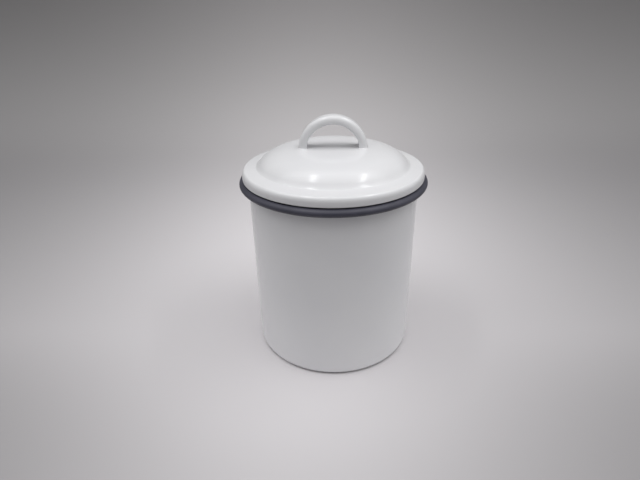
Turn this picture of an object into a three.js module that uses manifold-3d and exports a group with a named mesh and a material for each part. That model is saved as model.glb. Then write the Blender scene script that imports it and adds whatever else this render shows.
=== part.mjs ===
// A lidded enamel canister: a drawn steel pot with a rolled rim, and a lift-off
// lid with a domed top, a locating ring and a strap handle.
// Millimetres, +Z up. The origin is the middle of the foot, on the table.

import * as THREE from 'three';
import { mergeVertices } from 'three/addons/utils/BufferGeometryUtils.js';
import Module from 'manifold-3d';

// Driving dimensions of the pot
const potInnerRadius = 50;
const potSheet = 1;
const footCornerRadius = 3.4;
const footRingWidth = 5;
const footRecessDepth = 1.2;
const footRecessStep = 3;

// Driving dimensions of the rolled rim
const rimCentreHeight = 110.65;
const rimHalfWidth = 3.2;
const rimHalfHeight = 2.35;
const rimLipGap = 0.35;

// Driving dimensions of the lid's pressing
const lidSheet = 1;
const lidSeatGap = 0.55;
const lidOverhang = 1.1;
const lidEdgeHeight = 5.45;
const lidEdgeRoundWidth = 2;
const lidEdgeRoundHeight = 3.1;
const brimWidth = 9.45;
const brimRise = 1.15;
const creaseBlend = 1;
const domeHeight = 9.9;
const domeFlatnessShare = 4.5;
const domeShoulderShare = 1.35;

// Driving dimensions of the ring that locates the lid in the pot
const ringClearance = 0.75;
const ringSheet = 0.9;
const ringDepth = 12;
const ringFlangeWidth = 2.4;

// Driving dimensions of the strap handle
const handleHalfWidth = 19.8;
const handleArchHeight = 17.2;
const handleLegLength = 1.2;
const strapWidth = 10;
const strapDepth = 4.8;
const strapSheet = 1.2;
const strapCornerWidth = 3;
const strapCornerDepth = 3.8;

// The thin gap that a welded piece keeps to the sheet it is welded to, and how far a cut overruns
const weldGap = 0.3;
const cutOverrun = 2;

// Steps round the circle and along the curves
const roundSteps = 60;
const cornerSteps = 4;
const curlSteps = 4;
const domeSteps = 9;
const archSteps = 28;

// Enamel finishes
const whiteEnamel = { color: 0xe3e5e8, roughness: 0.16, metalness: 0 };
const slateEnamel = { color: 0x3b3d46, roughness: 0.2, metalness: 0 };

// Heights and radii that follow from the sizes above
const potOuterRadius = potInnerRadius + potSheet;
const wallTop = rimCentreHeight - rimHalfHeight;
const rimCrestRadius = potInnerRadius + rimHalfWidth;
const rimCrestHeight = rimCentreHeight + rimHalfHeight;
const lidRadius = rimCrestRadius + lidOverhang;
const lidBottom = rimCrestHeight + lidSeatGap;
const brimOuterRadius = lidRadius - lidEdgeRoundWidth;
const brimOuterHeight = lidBottom + lidEdgeHeight;
const creaseRadius = lidRadius - brimWidth;
const creaseHeight = brimOuterHeight + brimRise;
const domeTop = creaseHeight + domeHeight;

// Outlines are lists of (radius, height) points

function arcPoints(centre, halfWidth, halfHeight, fromAngle, toAngle, steps) {
  const points = [];
  for (let i = 0; i <= steps; i += 1) {
    const angle = fromAngle + ((toAngle - fromAngle) * i) / steps;
    points.push(new THREE.Vector2(
      centre.x + halfWidth * Math.cos(angle),
      centre.y + halfHeight * Math.sin(angle),
    ));
  }
  return points;
}

// Moves an outline to its left by the thickness of the sheet
function offsetOutline(points, thickness) {
  return points.map((point, i) => {
    const before = points[Math.max(i - 1, 0)];
    const after = points[Math.min(i + 1, points.length - 1)];
    const arriving = i > 0 ? point.clone().sub(before) : after.clone().sub(point);
    const leaving = i < points.length - 1 ? after.clone().sub(point) : point.clone().sub(before);
    const arrivingLeft = new THREE.Vector2(-arriving.y, arriving.x).normalize();
    const leavingLeft = new THREE.Vector2(-leaving.y, leaving.x).normalize();
    const mitre = arrivingLeft.clone().add(leavingLeft).normalize();
    const reach = thickness / mitre.dot(arrivingLeft);
    const moved = point.clone().addScaledVector(mitre, reach);
    return point.x === 0 ? new THREE.Vector2(0, point.y + mitre.y * thickness) : moved;
  });
}

// A sheet of even thickness whose first or last edge may lie on the axis
function sheetOutline(skin, thickness) {
  const inner = offsetOutline(skin, thickness).reverse();
  return [...skin, ...inner];
}

function closeOutline(points) {
  return [...points, points[0].clone()];
}

function turnedGeometry(outline) {
  const geometry = new THREE.LatheGeometry(outline, roundSteps);
  geometry.rotateX(Math.PI / 2);
  return geometry;
}

function piece(name, geometry, finish) {
  const mesh = new THREE.Mesh(geometry, new THREE.MeshStandardMaterial(finish));
  mesh.name = name;
  return mesh;
}

// Drawn pot: a flat base panel raised inside a foot ring, a rounded corner and a straight wall

function canisterBody() {
  const ringOuter = potOuterRadius - footCornerRadius;
  const ringInner = ringOuter - footRingWidth;
  const panelRadius = ringInner - footRecessStep;
  const skin = [new THREE.Vector2(0, footRecessDepth)];
  for (let i = 0; i <= cornerSteps; i += 1) {
    const along = i / cornerSteps;
    const fall = (1 + Math.cos(Math.PI * along)) / 2;
    skin.push(new THREE.Vector2(panelRadius + footRecessStep * along, footRecessDepth * fall));
  }
  const cornerCentre = new THREE.Vector2(ringOuter, footCornerRadius);
  skin.push(...arcPoints(cornerCentre, footCornerRadius, footCornerRadius, -Math.PI / 2, 0, cornerSteps));
  skin.push(new THREE.Vector2(potOuterRadius, wallTop));
  return turnedGeometry(sheetOutline(skin, potSheet));
}

// Rolled rim: the top of the sheet curled outwards, its lip stopping just short of the wall

function rimBead() {
  const centre = new THREE.Vector2(rimCrestRadius, rimCentreHeight);
  const lipReach = rimHalfWidth - potSheet - rimLipGap;
  const lipAngle = -Math.acos(-lipReach / rimHalfWidth);
  const curl = (halfWidth, halfHeight) => [
    ...arcPoints(centre, halfWidth, halfHeight, Math.PI, 0, 2 * curlSteps),
    ...arcPoints(centre, halfWidth, halfHeight, 0, -Math.PI / 2, curlSteps).slice(1),
    ...arcPoints(centre, halfWidth, halfHeight, -Math.PI / 2, lipAngle, cornerSteps / 2).slice(1),
  ];
  const outside = curl(rimHalfWidth, rimHalfHeight);
  const inside = curl(rimHalfWidth - potSheet, rimHalfHeight - potSheet).reverse();
  const neckInner = new THREE.Vector2(potInnerRadius, wallTop);
  const neckOuter = new THREE.Vector2(potOuterRadius, wallTop);
  const outline = [neckInner, ...outside, ...inside, neckOuter].reverse();
  return turnedGeometry(closeOutline(outline));
}

// Upper face of the lid, from the bottom of its edge to the middle of the dome

function brimHeightAt(radius) {
  const inwards = (brimOuterRadius - radius) / (brimOuterRadius - creaseRadius);
  return brimOuterHeight + brimRise * inwards;
}

function domeHeightAt(radius) {
  const level = 1 - (radius / creaseRadius) ** domeFlatnessShare;
  return creaseHeight + domeHeight * level ** (1 / domeShoulderShare);
}

function domeSkin() {
  const shoulder = creaseRadius - creaseBlend;
  const points = [];
  for (let i = 0; i < domeSteps; i += 1) {
    const radius = shoulder * Math.cos((Math.PI / 2) * (i / domeSteps));
    points.push(new THREE.Vector2(radius, domeHeightAt(radius)));
  }
  points.push(new THREE.Vector2(0, domeTop));
  return points;
}

function creaseSkin() {
  const brimEnd = new THREE.Vector2(creaseRadius + creaseBlend, brimHeightAt(creaseRadius + creaseBlend));
  const crease = new THREE.Vector2(creaseRadius, creaseHeight);
  const domeEnd = new THREE.Vector2(creaseRadius - creaseBlend, domeHeightAt(creaseRadius - creaseBlend));
  const blend = new THREE.QuadraticBezierCurve(brimEnd, crease, domeEnd);
  return blend.getPoints(cornerSteps).slice(0, -1);
}

function lidSkin() {
  const roundCentre = new THREE.Vector2(brimOuterRadius, brimOuterHeight - lidEdgeRoundHeight);
  return [
    new THREE.Vector2(lidRadius, lidBottom),
    ...arcPoints(roundCentre, lidEdgeRoundWidth, lidEdgeRoundHeight, 0, Math.PI / 2, cornerSteps),
    ...creaseSkin(),
    ...domeSkin(),
  ];
}

// Pressed lid: dome, brim and turned-down edge in one sheet

function lidShell() {
  const skin = lidSkin();
  const under = offsetOutline(skin, lidSheet).reverse();
  return turnedGeometry([...under, ...skin]);
}

// Locating ring: a flange welded under the brim and a skirt that drops into the pot

function lidSkirt() {
  const skirtOuter = potInnerRadius - ringClearance;
  const skirtInner = skirtOuter - ringSheet;
  const skirtBottom = lidBottom - ringDepth;
  const flangeOuter = skirtOuter + ringFlangeWidth;
  const flangeTop = (radius) => brimHeightAt(radius) - lidSheet - weldGap;
  const outline = [
    new THREE.Vector2(skirtInner, skirtBottom),
    new THREE.Vector2(skirtOuter, skirtBottom),
    new THREE.Vector2(skirtOuter, flangeTop(skirtOuter) - ringSheet),
    new THREE.Vector2(flangeOuter, flangeTop(flangeOuter) - ringSheet),
    new THREE.Vector2(flangeOuter, flangeTop(flangeOuter)),
    new THREE.Vector2(skirtInner, flangeTop(skirtInner)),
  ];
  return turnedGeometry(closeOutline(outline));
}

// The middle line of the handle: a leg, half an ellipse and a leg

class HandleLine extends THREE.Curve {
  getPoint(share, target = new THREE.Vector3()) {
    const halfWidth = handleHalfWidth - strapDepth / 2;
    const height = handleArchHeight - strapDepth / 2;
    const springHeight = domeTop + handleLegLength;
    const legShare = 1 / (archSteps / 2);
    const legDrop = handleLegLength + strapDepth;
    if (share < legShare) {
      return target.set(-halfWidth, 0, springHeight - legDrop * (1 - share / legShare));
    }
    if (share > 1 - legShare) {
      return target.set(halfWidth, 0, springHeight - legDrop * (1 - (1 - share) / legShare));
    }
    const angle = Math.PI * (1 - (share - legShare) / (1 - 2 * legShare));
    return target.set(halfWidth * Math.cos(angle), 0, springHeight + height * Math.sin(angle));
  }
}

// Section of the strap: a channel with round shoulders outside and its open side towards the hand

function strapSection() {
  const halfWidth = strapWidth / 2;
  const halfDepth = strapDepth / 2;
  const cornerX = halfWidth - strapCornerWidth;
  const cornerY = strapCornerDepth - halfDepth;
  const corner = (x, fromAngle, toAngle) => arcPoints(
    new THREE.Vector2(x, cornerY),
    strapCornerWidth,
    strapCornerDepth,
    fromAngle,
    toAngle,
    cornerSteps,
  );
  const skin = [
    new THREE.Vector2(-halfWidth, halfDepth),
    ...corner(-cornerX, Math.PI, 1.5 * Math.PI),
    ...corner(cornerX, -Math.PI / 2, 0),
    new THREE.Vector2(halfWidth, halfDepth),
  ];
  return new THREE.Shape(sheetOutline(skin, strapSheet));
}

// Solids for cutting

const wasm = await Module();
wasm.setup();

function solidFrom(geometry) {
  const bare = geometry.clone();
  bare.deleteAttribute('normal');
  bare.deleteAttribute('uv');
  const merged = mergeVertices(bare);
  return new wasm.Manifold(new wasm.Mesh({
    numProp: 3,
    vertProperties: Float32Array.from(merged.attributes.position.array),
    triVerts: Uint32Array.from(merged.index.array),
  }));
}

function geometryFrom(solid) {
  const mesh = solid.getMesh();
  const geometry = new THREE.BufferGeometry();
  geometry.setAttribute('position', new THREE.BufferAttribute(mesh.vertProperties, 3));
  geometry.setIndex(new THREE.BufferAttribute(mesh.triVerts, 1));
  geometry.computeVertexNormals();
  return geometry;
}

// Strap handle, its two feet trimmed to the dome they are welded to

function lidHandle() {
  const strap = new THREE.ExtrudeGeometry(strapSection(), {
    steps: archSteps,
    bevelEnabled: false,
    extrudePath: new HandleLine(),
  });
  const clearDome = offsetOutline(domeSkin(), -weldGap);
  const bottom = Math.min(creaseHeight, domeTop - strapDepth) - cutOverrun;
  const bottomRing = new THREE.Vector2(clearDome[0].x, bottom);
  const bottomMiddle = new THREE.Vector2(0, bottom);
  const dome = turnedGeometry([bottomMiddle, bottomRing, ...clearDome]);
  return geometryFrom(solidFrom(strap).subtract(solidFrom(dome)));
}

// The canister put together: the pot with its rim, and the lid that lifts off it

const canister = new THREE.Group();
const pot = new THREE.Group();
const lid = new THREE.Group();
pot.add(piece('canister_body', canisterBody(), whiteEnamel));
pot.add(piece('rim_bead', rimBead(), slateEnamel));
lid.add(piece('lid_shell', lidShell(), whiteEnamel));
lid.add(piece('lid_skirt', lidSkirt(), whiteEnamel));
lid.add(piece('lid_handle', lidHandle(), whiteEnamel));
canister.add(pot, lid);

export default canister;
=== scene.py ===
import math

import bmesh
import bpy
from mathutils import Matrix, Vector


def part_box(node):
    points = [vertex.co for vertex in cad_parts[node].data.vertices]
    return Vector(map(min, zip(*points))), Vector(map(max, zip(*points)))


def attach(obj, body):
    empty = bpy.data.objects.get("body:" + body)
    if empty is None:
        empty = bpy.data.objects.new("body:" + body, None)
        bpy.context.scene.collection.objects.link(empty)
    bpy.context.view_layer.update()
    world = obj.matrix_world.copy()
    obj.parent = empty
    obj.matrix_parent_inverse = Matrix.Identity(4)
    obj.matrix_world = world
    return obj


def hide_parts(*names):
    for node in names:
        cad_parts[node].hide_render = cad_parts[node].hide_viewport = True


# An enamel canister with a lift-off lid, in metres, +Z up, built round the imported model.
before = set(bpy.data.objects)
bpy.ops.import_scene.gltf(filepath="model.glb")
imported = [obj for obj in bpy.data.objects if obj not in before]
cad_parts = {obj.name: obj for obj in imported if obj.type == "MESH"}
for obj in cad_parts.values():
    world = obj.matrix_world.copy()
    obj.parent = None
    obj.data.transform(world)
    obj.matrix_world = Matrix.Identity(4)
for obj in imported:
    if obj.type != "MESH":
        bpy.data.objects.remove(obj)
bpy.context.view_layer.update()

# The camera stands in front of the canister and a little above its lid, and looks down at it.
# It was held slightly turned and slightly tilted, as a hand-held camera is.
camera_place = (0.0, -0.257, 0.2008)
camera_dip = math.radians(27.325)
camera_turn = math.radians(1.92)
camera_roll = math.radians(-1.10)
camera_aim = (
    Matrix.Rotation(camera_turn, 3, "Z")
    @ Matrix.Rotation(math.pi / 2 - camera_dip, 3, "X")
    @ Matrix.Rotation(camera_roll, 3, "Z")
)
bpy.ops.object.camera_add(location=camera_place, rotation=camera_aim.to_euler())
camera = bpy.context.object
camera.data.sensor_width = 36.0
camera.data.lens = 24.89
camera.data.clip_start = 0.01
bpy.context.scene.camera = camera


# The pot is one steel cup, drawn deep from a flat disc: a straight wall, a small round corner
# and a base panel raised inside a flat foot ring. White enamel covers it inside and out.
pot_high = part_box("canister_body")[1]
pot_radius = pot_high.x
pot_top = pot_high.z
pot_sheet = 0.0010
pot_edge_round = 0.0001
foot_corner = 0.0034
foot_ring = 0.0050
foot_recess = 0.0012
foot_step = 0.0030
foot_outer = pot_radius - foot_corner
foot_inner = foot_outer - foot_ring
panel_radius = foot_inner - foot_step
step_points = 10
enamel_wave = 0.00006
white_cloud = (0.766, 0.767, 0.788, 1.0)
white_clear = (0.796, 0.796, 0.812, 1.0)
# The grey at a bottom edge is partly enamel running thinner over its dark ground coat, and on the
# lid also painted shade of the dark gap between its edge and the rim.
thin_edge_shade_share = 0.95
thin_edge_shade_grey = (0.08, 0.08, 0.09, 1.0)
# The foot's lowest edge is greyed, partly as wear of the enamel and partly as painted shade of its
# contact with the floor.
wear_and_shade_height = 0.0022
wear_and_shade_share = 0.95
wear_and_shade_grey = (0.12, 0.12, 0.13, 1.0)
worn_dullness = 0.25
turn_steps = 240
same_place = 1e-6


def arc(centre, half_width, half_height, start, end, steps):
    """Points on a round or oval stretch of an outline, from one angle to another, in degrees."""
    points = []
    for i in range(steps + 1):
        angle = math.radians(start + (end - start) * i / steps)
        points.append(
            (centre[0] + half_width * math.cos(angle), centre[1] + half_height * math.sin(angle))
        )
    return points


def stretch(start, end, steps):
    """Points on a straight stretch of an outline, without its two ends."""
    return [
        (start[0] + (end[0] - start[0]) * i / steps, start[1] + (end[1] - start[1]) * i / steps)
        for i in range(1, steps)
    ]


def draw_line(name, points):
    """Starts a piece as a line of edges through these points, and leaves it open in edit mode."""
    bpy.ops.object.select_all(action="DESELECT")
    bpy.ops.mesh.primitive_plane_add(size=pot_sheet, location=points[0])
    bpy.context.object.name = name
    bpy.ops.object.transform_apply(location=True, rotation=True, scale=True)
    bpy.ops.object.mode_set(mode="EDIT")
    bpy.ops.mesh.select_mode(type="VERT")
    bpy.ops.mesh.select_all(action="SELECT")
    bpy.ops.mesh.merge(type="CENTER")
    for here, there in zip(points, points[1:]):
        step = [end - start for start, end in zip(here, there)]
        bpy.ops.mesh.extrude_region_move(TRANSFORM_OT_translate={"value": step})
    return bpy.context.object


def turn(name, outline, closed=False):
    """Spins an outline of (radius, height) points round the axis into a skin."""
    points = [(radius, 0.0, height) for radius, height in outline]
    piece = draw_line(name, points)
    if closed:
        select_near(piece, [points[0], points[-1]])
        bpy.ops.mesh.edge_face_add()
    bpy.ops.mesh.select_all(action="SELECT")
    bpy.ops.mesh.spin(steps=turn_steps, angle=2 * math.pi, center=(0, 0, 0), axis=(0, 0, 1))
    bpy.ops.mesh.select_all(action="SELECT")
    bpy.ops.mesh.remove_doubles(threshold=same_place)
    bpy.ops.mesh.normals_make_consistent(inside=False)
    bpy.ops.object.mode_set(mode="OBJECT")
    return piece


def select_near(piece, places):
    """In edit mode, selects the vertices that lie at these places and no others."""
    mesh = bmesh.from_edit_mesh(piece.data)
    for vertex in mesh.verts:
        vertex.select = any(math.dist(vertex.co, place) < same_place for place in places)
    mesh.select_flush_mode()
    bmesh.update_edit_mesh(piece.data)


def add_modifier(piece, kind, **settings):
    """Adds a modifier with these settings and applies it."""
    modifier = piece.modifiers.new(kind.title(), kind)
    for setting, value in settings.items():
        setattr(modifier, setting, value)
    bpy.context.view_layer.objects.active = piece
    bpy.ops.object.modifier_apply(modifier=modifier.name)


def give_sheet(piece, thickness, edge_round):
    """Gives a turned skin its sheet's thickness, behind the side it faces, and a round cut edge."""
    add_modifier(piece, "SOLIDIFY", thickness=thickness, offset=-1.0, use_even_offset=True)
    add_modifier(
        piece,
        "BEVEL",
        width=edge_round,
        segments=5,
        limit_method="ANGLE",
        angle_limit=math.radians(40),
        use_clamp_overlap=False,
    )


def finish_piece(piece, material, body, node):
    """Smooths a piece, paints it, hides the imported node it stands for, and hangs it on the body
    it moves with.
    """
    bpy.ops.object.select_all(action="DESELECT")
    piece.select_set(True)
    bpy.context.view_layer.objects.active = piece
    bpy.ops.object.shade_smooth()
    piece.data.materials.append(material)
    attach(piece, body)
    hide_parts(node)


class Wire:
    """A shader value: arithmetic on it adds Math nodes to its finish."""

    def __init__(self, finish, socket):
        self.finish = finish
        self.socket = socket

    def math(self, operation, first, second):
        return self.finish.node("ShaderNodeMath", {"operation": operation}, {0: first, 1: second})

    def __add__(self, other):
        return self.math("ADD", self, other)

    def __radd__(self, other):
        return self.math("ADD", other, self)

    def __sub__(self, other):
        return self.math("SUBTRACT", self, other)

    def __rsub__(self, other):
        return self.math("SUBTRACT", other, self)

    def __mul__(self, other):
        return self.math("MULTIPLY", self, other)

    def __rmul__(self, other):
        return self.math("MULTIPLY", other, self)

    def __truediv__(self, other):
        return self.math("DIVIDE", self, other)

    def __rtruediv__(self, other):
        return self.math("DIVIDE", other, self)


class Finish:
    """A material, or the surround, and the nodes it is made of."""

    def __init__(self, owner, shader, place, **settings):
        owner.use_nodes = True
        self.owner = owner
        self.tree = owner.node_tree
        self.shader = self.tree.nodes[shader]
        for setting, value in settings.items():
            self.shader.inputs[setting].default_value = value
        self.place = self.node("ShaderNodeTexCoord", output=place)

    def node(self, kind, settings=None, inputs=None, output=0):
        """Adds a node with these settings and inputs, and gives the value at one output."""
        made = self.tree.nodes.new(kind)
        for setting, value in (settings or {}).items():
            setattr(made, setting, value)
        for socket, value in (inputs or {}).items():
            if isinstance(value, Wire):
                self.tree.links.new(value.socket, made.inputs[socket])
            else:
                made.inputs[socket].default_value = value
        return Wire(self, made.outputs[output])

    def noise(self, size, detail=2.0):
        """Cloudy noise from 0 to 1 whose blobs are about this size, in metres."""
        inputs = {"Vector": self.place, "Scale": 1 / size, "Detail": detail}
        return self.node("ShaderNodeTexNoise", inputs=inputs)

    def ramp_between(self, value, low, high):
        """0 below low, 1 above high, smooth between."""
        settings = {"interpolation_type": "SMOOTHSTEP"}
        inputs = {"Value": value, "From Min": low, "From Max": high}
        return self.node("ShaderNodeMapRange", settings, inputs)

    def mix(self, share, first, second):
        """The first colour where share is 0 and the second where it is 1."""
        settings = {"data_type": "RGBA"}
        inputs = {"Factor": share, 6: first, 7: second}
        return self.node("ShaderNodeMix", settings, inputs, output=2)

    def along(self, axis):
        """The place along one axis."""
        return self.node("ShaderNodeSeparateXYZ", inputs={0: self.place}, output=axis)

    def height(self):
        """The place along Z, which is up."""
        return self.along("Z")

    def radius(self):
        """The distance from the canister's axis."""
        flat = self.node(
            "ShaderNodeVectorMath", {"operation": "MULTIPLY"}, {0: self.place, 1: (1.0, 1.0, 0.0)}
        )
        return self.node("ShaderNodeVectorMath", {"operation": "LENGTH"}, {0: flat}, output="Value")

    def bump(self, relief, distance):
        """Tips the surface by a relief whose full height is this distance, in metres."""
        inputs = {"Height": relief, "Distance": distance}
        return self.node("ShaderNodeBump", inputs=inputs, output="Normal")

    def feed(self, **inputs):
        """Leads these values to the shader's sockets."""
        for socket, wire in inputs.items():
            self.tree.links.new(wire.socket, self.shader.inputs[socket.replace("_", " ")])
        return self.owner


def new_finish(name, **settings):
    """A new material with one shader, given these settings."""
    material = bpy.data.materials.new(name)
    return Finish(material, "Principled BSDF", "Object", **settings)


def white_enamel(name, wear_and_shade_below=None, thin_edge_shade_below=None):
    """Glossy white enamel, clouded and wavy; its thinnest bottom edge and its scuffed foot are
    darkened, partly with painted shade.
    """
    finish = new_finish(name, IOR=1.52)
    clouds = finish.noise(0.045, detail=3.0)
    paint = finish.mix(finish.ramp_between(clouds, 0.25, 0.75), white_cloud, white_clear)
    gloss = 0.15 + 0.07 * finish.noise(0.03)
    # The bottom edge is greyed, partly as enamel running thinner there and partly as painted shade.
    if thin_edge_shade_below is not None:
        edge, depth = thin_edge_shade_below
        ragged = finish.height() + (finish.noise(0.004) - 0.5) * depth
        thin_edge_shade = 1 - finish.ramp_between(ragged, edge, edge + depth)
        paint = finish.mix(thin_edge_shade * thin_edge_shade_share, paint, thin_edge_shade_grey)
    # The foot ring's lower edge is greyed in patches: wear of the enamel, and painted shade of the
    # contact with the floor.
    if wear_and_shade_below is not None:
        ragged = finish.height() + (finish.noise(0.003, detail=4.0) - 0.5) * wear_and_shade_below
        wear_and_shade = 1 - finish.ramp_between(ragged, wear_and_shade_below * 0.2, wear_and_shade_below)
        wear_and_shade = wear_and_shade * finish.ramp_between(finish.radius(), panel_radius, foot_inner)
        patches = finish.ramp_between(finish.noise(0.0012, detail=4.0), 0.40, 0.56)
        paint = finish.mix(wear_and_shade * patches * wear_and_shade_share, paint, wear_and_shade_grey)
        gloss = gloss + wear_and_shade * worn_dullness
    relief = finish.noise(0.012, detail=1.0) + 0.12 * finish.noise(0.0022, detail=1.0)
    return finish.feed(Base_Color=paint, Roughness=gloss, Normal=finish.bump(relief, enamel_wave))


pot_skin = [(0.0, foot_recess)]
pot_skin += stretch((0.0, foot_recess), (panel_radius, foot_recess), 12)
for i in range(step_points + 1):
    fall = (1 + math.cos(math.pi * i / step_points)) / 2
    pot_skin.append((panel_radius + foot_step * i / step_points, foot_recess * fall))
pot_skin += arc((foot_outer, foot_corner), foot_corner, foot_corner, -90, 0, 14)
pot_skin += stretch((pot_radius, foot_corner), (pot_radius, pot_top), 30)
pot_skin.append((pot_radius, pot_top))
pot = turn("drawn_pot", pot_skin)
give_sheet(pot, pot_sheet, pot_edge_round)
finish_piece(
    pot,
    white_enamel("white enamel of the pot", wear_and_shade_below=wear_and_shade_height),
    "canister",
    "canister_body",
)


# The rim is the top of the same sheet, curled outwards into an oval bead with its lip tucked
# in against the wall. Dark slate enamel is brushed round it over the white.
rim_low, rim_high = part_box("rim_bead")
rim_half_height = (rim_high.z - rim_low.z) / 2
rim_height = rim_high.z - rim_half_height
rim_half_width = (rim_high.x - (pot_radius - pot_sheet)) / 2
rim_radius = rim_high.x - rim_half_width
rim_lip = 0.0005
rim_coat = 0.00008
rim_sleeve = 0.0010
brushed_share = 0.4
brush_wave = 0.0005
brush_fade = 0.0003
slate_dark = (0.053, 0.053, 0.073, 1.0)
slate_light = (0.067, 0.066, 0.090, 1.0)
white_under = (0.78, 0.785, 0.797, 1.0)


def slate_enamel(name, brushed_to):
    """Slate enamel with a soft shine and faint clouds, ending in a brushed wavy line."""
    finish = new_finish(name, IOR=1.4)
    clouds = finish.noise(0.012, detail=3.0)
    slate = finish.mix(finish.ramp_between(clouds, 0.3, 0.7), slate_dark, slate_light)
    brushed = finish.height() + (finish.noise(0.007) - 0.5) * brush_wave
    under = 1 - finish.ramp_between(brushed, brushed_to, brushed_to + brush_fade)
    paint = finish.mix(under, slate, white_under)
    relief = finish.noise(0.008, detail=1.0) + 0.15 * finish.noise(0.0016, detail=1.0)
    gloss = 0.41 + 0.08 * finish.noise(0.01)
    return finish.feed(Base_Color=paint, Roughness=gloss, Normal=finish.bump(relief, enamel_wave))


lip_reach = rim_half_width - pot_sheet - rim_lip
lip_angle = -math.degrees(math.acos(-lip_reach / rim_half_width))
rim_centre = (rim_radius, rim_height)
inner_half_width = rim_half_width - pot_sheet
inner_half_height = rim_half_height - pot_sheet
sleeve_bottom = rim_low.z - rim_sleeve
neck_inner = pot_radius - pot_sheet - rim_coat
neck_outer = pot_radius + rim_coat
rim_outline = [(neck_inner, sleeve_bottom)]
rim_outline += stretch((neck_inner, sleeve_bottom), (neck_inner, rim_height), 6)
rim_outline += arc(rim_centre, rim_half_width, rim_half_height, 180, lip_angle, 60)
rim_outline += arc(rim_centre, inner_half_width, inner_half_height, lip_angle, 180, 44)[:-1]
rim_outline += stretch((neck_outer, rim_height), (neck_outer, sleeve_bottom), 6)
rim_outline.append((neck_outer, sleeve_bottom))
rim = turn("rolled_rim", rim_outline, closed=True)
finish_piece(
    rim,
    slate_enamel("slate enamel of the rim", rim_low.z - rim_sleeve * brushed_share),
    "canister",
    "rim_bead",
)


# The lid is one pressing of the same sheet: a flat-topped dome, a flat brim and an edge turned
# down over a round bend. The edge ends just above the crest of the rim.
lid_low, lid_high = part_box("lid_shell")
lid_radius = lid_high.x
lid_sheet = 0.0010
lid_edge_round = 0.00042
lid_edge = 0.00545
lid_bend_width = 0.0020
lid_bend_height = 0.0031
brim_width = 0.00945
brim_rise = 0.00115
crease_blend = 0.0012
dome_flatness = 4.5
dome_shoulder = 1.35
dome_stride = 0.00001
dome_steps = 60
# The lid's bottom edge is greyed, partly as painted shade of the gap above the rim.
thin_edge_shade_depth = 0.0004
brim_radius = lid_radius - lid_bend_width
brim_height = lid_low.z + lid_edge
crease_radius = lid_radius - brim_width
crease_height = brim_height + brim_rise
dome_height = lid_high.z - crease_height


def brim_level(radius):
    return brim_height + brim_rise * (brim_radius - radius) / (brim_radius - crease_radius)


def dome_level(radius):
    level = 1 - (radius / crease_radius) ** dome_flatness
    return crease_height + dome_height * level ** (1 / dome_shoulder)


def crease_points(steps):
    """The hollow bend from the brim to the dome, round the corner where their slopes meet."""
    brim_end = (crease_radius + crease_blend, brim_level(crease_radius + crease_blend))
    dome_end = (crease_radius - crease_blend, dome_level(crease_radius - crease_blend))
    dome_fall = (dome_level(dome_end[0] - dome_stride) - dome_end[1]) / dome_stride
    brim_fall = brim_rise / (brim_radius - crease_radius)
    meeting = dome_end[0] + (dome_end[1] - brim_level(dome_end[0])) / (dome_fall - brim_fall)
    corner = (meeting, brim_level(meeting))
    points = []
    for i in range(steps + 1):
        way = i / steps
        points.append(
            tuple(
                first * (1 - way) ** 2 + 2 * middle * way * (1 - way) + last * way**2
                for first, middle, last in zip(brim_end, corner, dome_end)
            )
        )
    return points


bend_centre = (brim_radius, brim_height - lid_bend_height)
lid_skin = [(lid_radius, lid_low.z)]
lid_skin += stretch((lid_radius, lid_low.z), (lid_radius, bend_centre[1]), 4)
lid_skin += arc(bend_centre, lid_bend_width, lid_bend_height, 0, 90, 16)
crease = crease_points(12)
lid_skin += stretch((brim_radius, brim_height), crease[0], 6)
lid_skin += crease
for i in range(1, dome_steps):
    dome_radius = (crease_radius - crease_blend) * math.cos(math.pi / 2 * i / dome_steps)
    lid_skin.append((dome_radius, dome_level(dome_radius)))
lid_skin.append((0.0, lid_high.z))
lid = turn("pressed_lid", lid_skin)
give_sheet(lid, lid_sheet, lid_edge_round)
finish_piece(
    lid,
    white_enamel("white enamel of the lid", thin_edge_shade_below=(lid_low.z, thin_edge_shade_depth)),
    "lid",
    "lid_shell",
)


# Under the brim sits the ring that keeps the lid in place: a strip bent to an L, rolled round
# and welded by its flange before the enamel. Its skirt drops inside the pot's wall.
ring_low, ring_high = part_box("lid_skirt")
ring_sheet = 0.0009
ring_edge_round = 0.00038
ring_clearance = 0.00075
ring_bend = 0.0012
skirt_outer = pot_radius - pot_sheet - ring_clearance
flange_outer = ring_high.x
flange_seat = 0.00003


def flange_level(radius):
    """The level of the flange's skin, which follows the slope of the brim."""
    return brim_level(radius) - lid_sheet - flange_seat - ring_sheet


bend_middle = (skirt_outer + ring_bend, flange_level(skirt_outer + ring_bend) - ring_bend)
skirt_skin = [(skirt_outer, ring_low.z)]
skirt_skin += stretch((skirt_outer, ring_low.z), (skirt_outer, bend_middle[1]), 8)
skirt_skin += arc(bend_middle, ring_bend, ring_bend, 180, 90, 8)
skirt_skin.append((flange_outer, flange_level(flange_outer)))
ring = turn("lid_ring", skirt_skin)
# This skin comes out facing the axis, so the sheet lies outside the skirt's skin and under the
# flange's, one sheet wider and lower than the imported ring. It is a fault.
give_sheet(ring, ring_sheet, ring_edge_round)
finish_piece(
    ring,
    white_enamel("white enamel of the ring", thin_edge_shade_below=(ring_low.z, thin_edge_shade_depth)),
    "lid",
    "lid_skirt",
)


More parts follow.
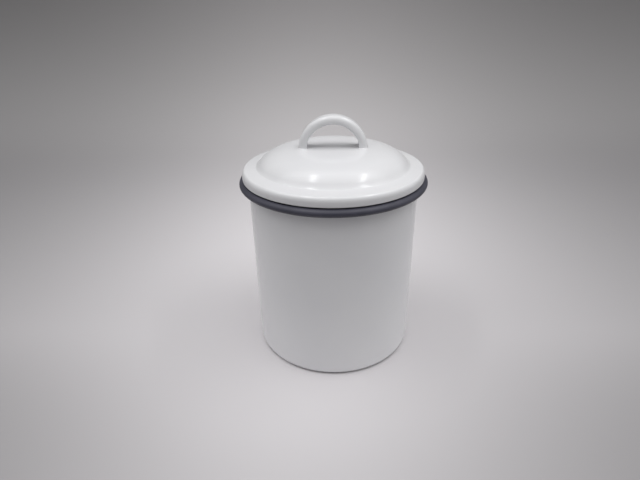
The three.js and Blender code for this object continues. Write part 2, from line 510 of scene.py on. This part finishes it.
# The handle is a steel strip rolled to a channel, bent into a loop with its hollow side inwards
# and welded to the dome by both ends. The enamel runs out in a small hollow round each foot.
handle_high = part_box("lid_handle")[1]
strap_half_width = handle_high.y
strap_depth = 0.0048
strap_sheet = 0.0012
strap_round_across = 0.0030
strap_round_out = 0.0038
leg_length = 0.0012
weld_round = 0.0006
weld_sink = 0.0006
spring_height = lid_high.z + leg_length
half_span = handle_high.x - strap_depth / 2
arch_rise = handle_high.z - spring_height - strap_depth / 2
corner_radius = 0.0108
crown_radius = (half_span**2 + arch_rise**2 - 2 * half_span * corner_radius) / (
    2 * (arch_rise - corner_radius)
)
corner_angle = math.atan2(crown_radius - arch_rise, half_span - corner_radius)


def strap_section():
    """The closed outline of the channel, outwards and across, round its two lips."""
    half_depth = strap_depth / 2
    round_out = half_depth - strap_round_out
    round_across = strap_half_width - strap_round_across
    lip_round = strap_sheet / 2
    lip_out = -half_depth + lip_round
    lip_across = strap_half_width - lip_round
    inner_out = strap_round_out - strap_sheet
    inner_across = strap_round_across - strap_sheet
    points = arc((round_out, -round_across), strap_round_out, strap_round_across, -90, 0, 12)
    points += stretch(points[-1], (half_depth, round_across), 6)
    points += arc((round_out, round_across), strap_round_out, strap_round_across, 0, 90, 12)
    points += arc((lip_out, lip_across), lip_round, lip_round, 90, 270, 8)
    points += arc((round_out, round_across), inner_out, inner_across, 90, 0, 8)
    points += stretch(points[-1], (half_depth - strap_sheet, -round_across), 6)
    points += arc((round_out, -round_across), inner_out, inner_across, 0, -90, 8)
    points += arc((lip_out, -lip_across), lip_round, lip_round, 90, 270, 8)
    return points


foot_height = dome_level(handle_high.x)
section = [(-half_span - out, across, spring_height) for out, across in strap_section()]
handle = draw_line("strap_handle", section)
bpy.ops.mesh.select_all(action="SELECT")
bpy.ops.mesh.remove_doubles(threshold=same_place)
select_near(handle, [section[0], section[-1]])
bpy.ops.mesh.edge_face_add()
bpy.ops.mesh.select_all(action="SELECT")
loop_bends = (
    (16, corner_angle, corner_radius - half_span, spring_height),
    (32, math.pi - 2 * corner_angle, 0.0, spring_height + arch_rise - crown_radius),
    (16, corner_angle, half_span - corner_radius, spring_height),
)
for steps, angle, middle, height in loop_bends:
    bpy.ops.mesh.spin(steps=steps, angle=angle, center=(middle, 0, height), axis=(0, -1, 0))


def select_foot(piece, side):
    """Selects the open end of the strap on one side, where it points down at the dome."""
    mesh = bmesh.from_edit_mesh(piece.data)
    for vertex in mesh.verts:
        vertex.select = vertex.is_boundary and vertex.co.x * side > 0
    mesh.select_flush_mode()
    bmesh.update_edit_mesh(piece.data)


weld_steps = 6
straight = spring_height - foot_height - weld_round
for side in (-1, 1):
    select_foot(handle, side)
    bpy.ops.mesh.extrude_region_move(TRANSFORM_OT_translate={"value": (0, 0, -straight)})
    grown = 0.0
    dropped = 0.0
    for i in range(1, weld_steps + 1):
        angle = math.pi / 2 * i / weld_steps
        growth = weld_round * (1 - math.cos(angle))
        drop = weld_round * math.sin(angle)
        bpy.ops.mesh.extrude_region_move(
            TRANSFORM_OT_translate={"value": (0, 0, dropped - drop)}
        )
        wider = (strap_half_width + growth) / (strap_half_width + grown)
        deeper = (strap_depth / 2 + growth) / (strap_depth / 2 + grown)
        bpy.ops.transform.resize(
            value=(deeper, wider, 1.0), center_override=(side * half_span, 0, foot_height)
        )
        grown = growth
        dropped = drop
    bpy.ops.mesh.extrude_region_move(TRANSFORM_OT_translate={"value": (0, 0, -weld_sink)})
    bpy.ops.mesh.edge_face_add()
bpy.ops.mesh.select_all(action="SELECT")
bpy.ops.mesh.normals_make_consistent(inside=False)
bpy.ops.object.mode_set(mode="OBJECT")
finish_piece(
    handle,
    white_enamel("white enamel of the handle"),
    "lid",
    "lid_handle",
)


# The canister stands on a pale sheet that sweeps up behind it into a backdrop. A pool of light is
# painted on the sheet: palest round the canister and greying outwards, fastest in front of it, with
# the backdrop painted lighter than the floor to stand in for light.
sheet_front = -1.2
sheet_back = 0.75
sheet_width = 3.6
sheet_rise = 0.42
sweep_radius = 0.30
pool_middle = (-0.020, 0.056)
pool_side_fall = 20.4
pool_back_fall = 4.4
front_side_fall = 2.3
front_back_fall = 2.2
front_reach = -0.14
backdrop_start = 0.29
floor_outside = (0.150, 0.145, 0.149, 1.0)
floor_middle = (0.737, 0.713, 0.732, 1.0)
backdrop_outside = (0.201, 0.196, 0.198, 1.0)
backdrop_middle = (0.975, 0.943, 0.954, 1.0)
bpy.ops.object.select_all(action="DESELECT")
bpy.ops.mesh.primitive_plane_add(size=1.0)
stage_sheet = bpy.context.object
stage_sheet.name = "stage_sheet"
bpy.ops.transform.resize(value=(sheet_width, sheet_back - sheet_front, 1.0))
bpy.ops.transform.translate(value=(0, (sheet_back + sheet_front) / 2, 0))
bpy.ops.object.transform_apply(location=True, rotation=True, scale=True)
bpy.ops.object.mode_set(mode="EDIT")
bpy.ops.mesh.select_mode(type="VERT")
stage_mesh = bmesh.from_edit_mesh(stage_sheet.data)
for vertex in stage_mesh.verts:
    vertex.select = vertex.co.y > 0
stage_mesh.select_flush_mode()
bmesh.update_edit_mesh(stage_sheet.data)
bpy.ops.mesh.extrude_region_move(TRANSFORM_OT_translate={"value": (0, 0, sheet_rise)})
bpy.ops.object.mode_set(mode="OBJECT")
add_modifier(
    stage_sheet,
    "BEVEL",
    width=sweep_radius,
    segments=24,
    limit_method="ANGLE",
    use_clamp_overlap=False,
)
bpy.ops.object.shade_smooth()
paper = new_finish("pale paper sheet with painted light", Roughness=0.75, IOR=1.45)
side_way = paper.along("X") - pool_middle[0]
back_way = paper.along("Y") - pool_middle[1]
front = 1 - paper.ramp_between(paper.along("Y"), front_reach, 0.0)
side_fall = pool_side_fall * side_way * side_way * (1 + front_side_fall * front)
back_fall = pool_back_fall * back_way * back_way * (1 + front_back_fall * front)
# Painted light: the colour follows a pool of light round the canister, and the backdrop is painted
# lighter than the floor.
painted_light = 1 / (1 + (side_fall + back_fall))
floor_painted_light = paper.mix(painted_light, floor_outside, floor_middle)
backdrop_painted_light = paper.mix(painted_light, backdrop_outside, backdrop_middle)
rise = paper.ramp_between(paper.along("Y"), backdrop_start, sheet_back)
sheet_painted_light = paper.mix(rise, floor_painted_light, backdrop_painted_light)
stage_sheet.data.materials.append(paper.feed(Base_Color=sheet_painted_light))


# The light is a soft white surround: bright overhead, fading towards the horizon, soonest behind
# the canister, with a weaker glow low down at both sides. Two lamps above the lid, one to each
# side, leave the two soft spots on the dome.
lamp_aim = (0, 0, lid_high.z)
surround_strength = 1.71
surround_seen = 0.3
bright_from = 0.51
bright_to = 0.80
side_gain = 0.15
ahead_loss = 0.38
behind_loss = 0.20
top_from = 0.82
top_loss = 0.12
glow_middle = -0.08
glow_least = 0.03
glow_gain = 0.36


def soft_lamp(name, place, along, width, length, power):
    """A flat lamp that faces the lid, with its long side turned this way."""
    bpy.ops.object.light_add(type="AREA", location=place)
    lamp = bpy.context.object
    lamp.name = name
    lamp.data.shape = "RECTANGLE"
    lamp.data.size = width
    lamp.data.size_y = length
    lamp.data.energy = power
    back = (Vector(place) - Vector(lamp_aim)).normalized()
    side = Vector(along).cross(back).normalized()
    lamp.rotation_euler = Matrix((side, back.cross(side), back)).transposed().to_euler()


soft_lamp(
    "left_lamp",
    place=(-0.130, -0.035, 0.530),
    along=(-0.30, -0.95, 0),
    width=0.028,
    length=0.23,
    power=0.21,
)
soft_lamp(
    "right_lamp",
    place=(0.208, -0.033, 0.507),
    along=(0.30, -0.95, 0),
    width=0.026,
    length=0.25,
    power=0.23,
)

world = bpy.data.worlds.new("soft surround")
world.use_nodes = True
surround = Finish(world, "Background", "Generated", Strength=surround_strength)
across = surround.node("ShaderNodeMath", {"operation": "ABSOLUTE"}, {0: surround.along("X")})
ahead = surround.node("ShaderNodeMath", {"operation": "ABSOLUTE"}, {0: surround.along("Y")})
level = surround.height() + side_gain * across - ahead_loss * ahead
level = level - behind_loss * surround.along("Y")
bright = surround.ramp_between(level, bright_from, bright_to)
bright = bright * (1 - top_loss * surround.ramp_between(surround.height(), top_from, 1.0))
side = surround.along("X") - glow_middle
low = glow_least + glow_gain * side * side
light = low + (1 - low) * bright
seen = surround.node("ShaderNodeLightPath", output="Is Camera Ray")
surround.feed(Color=light + seen * (surround_seen - light))
bpy.context.scene.world = world
bpy.context.scene.view_settings.view_transform = "Standard"
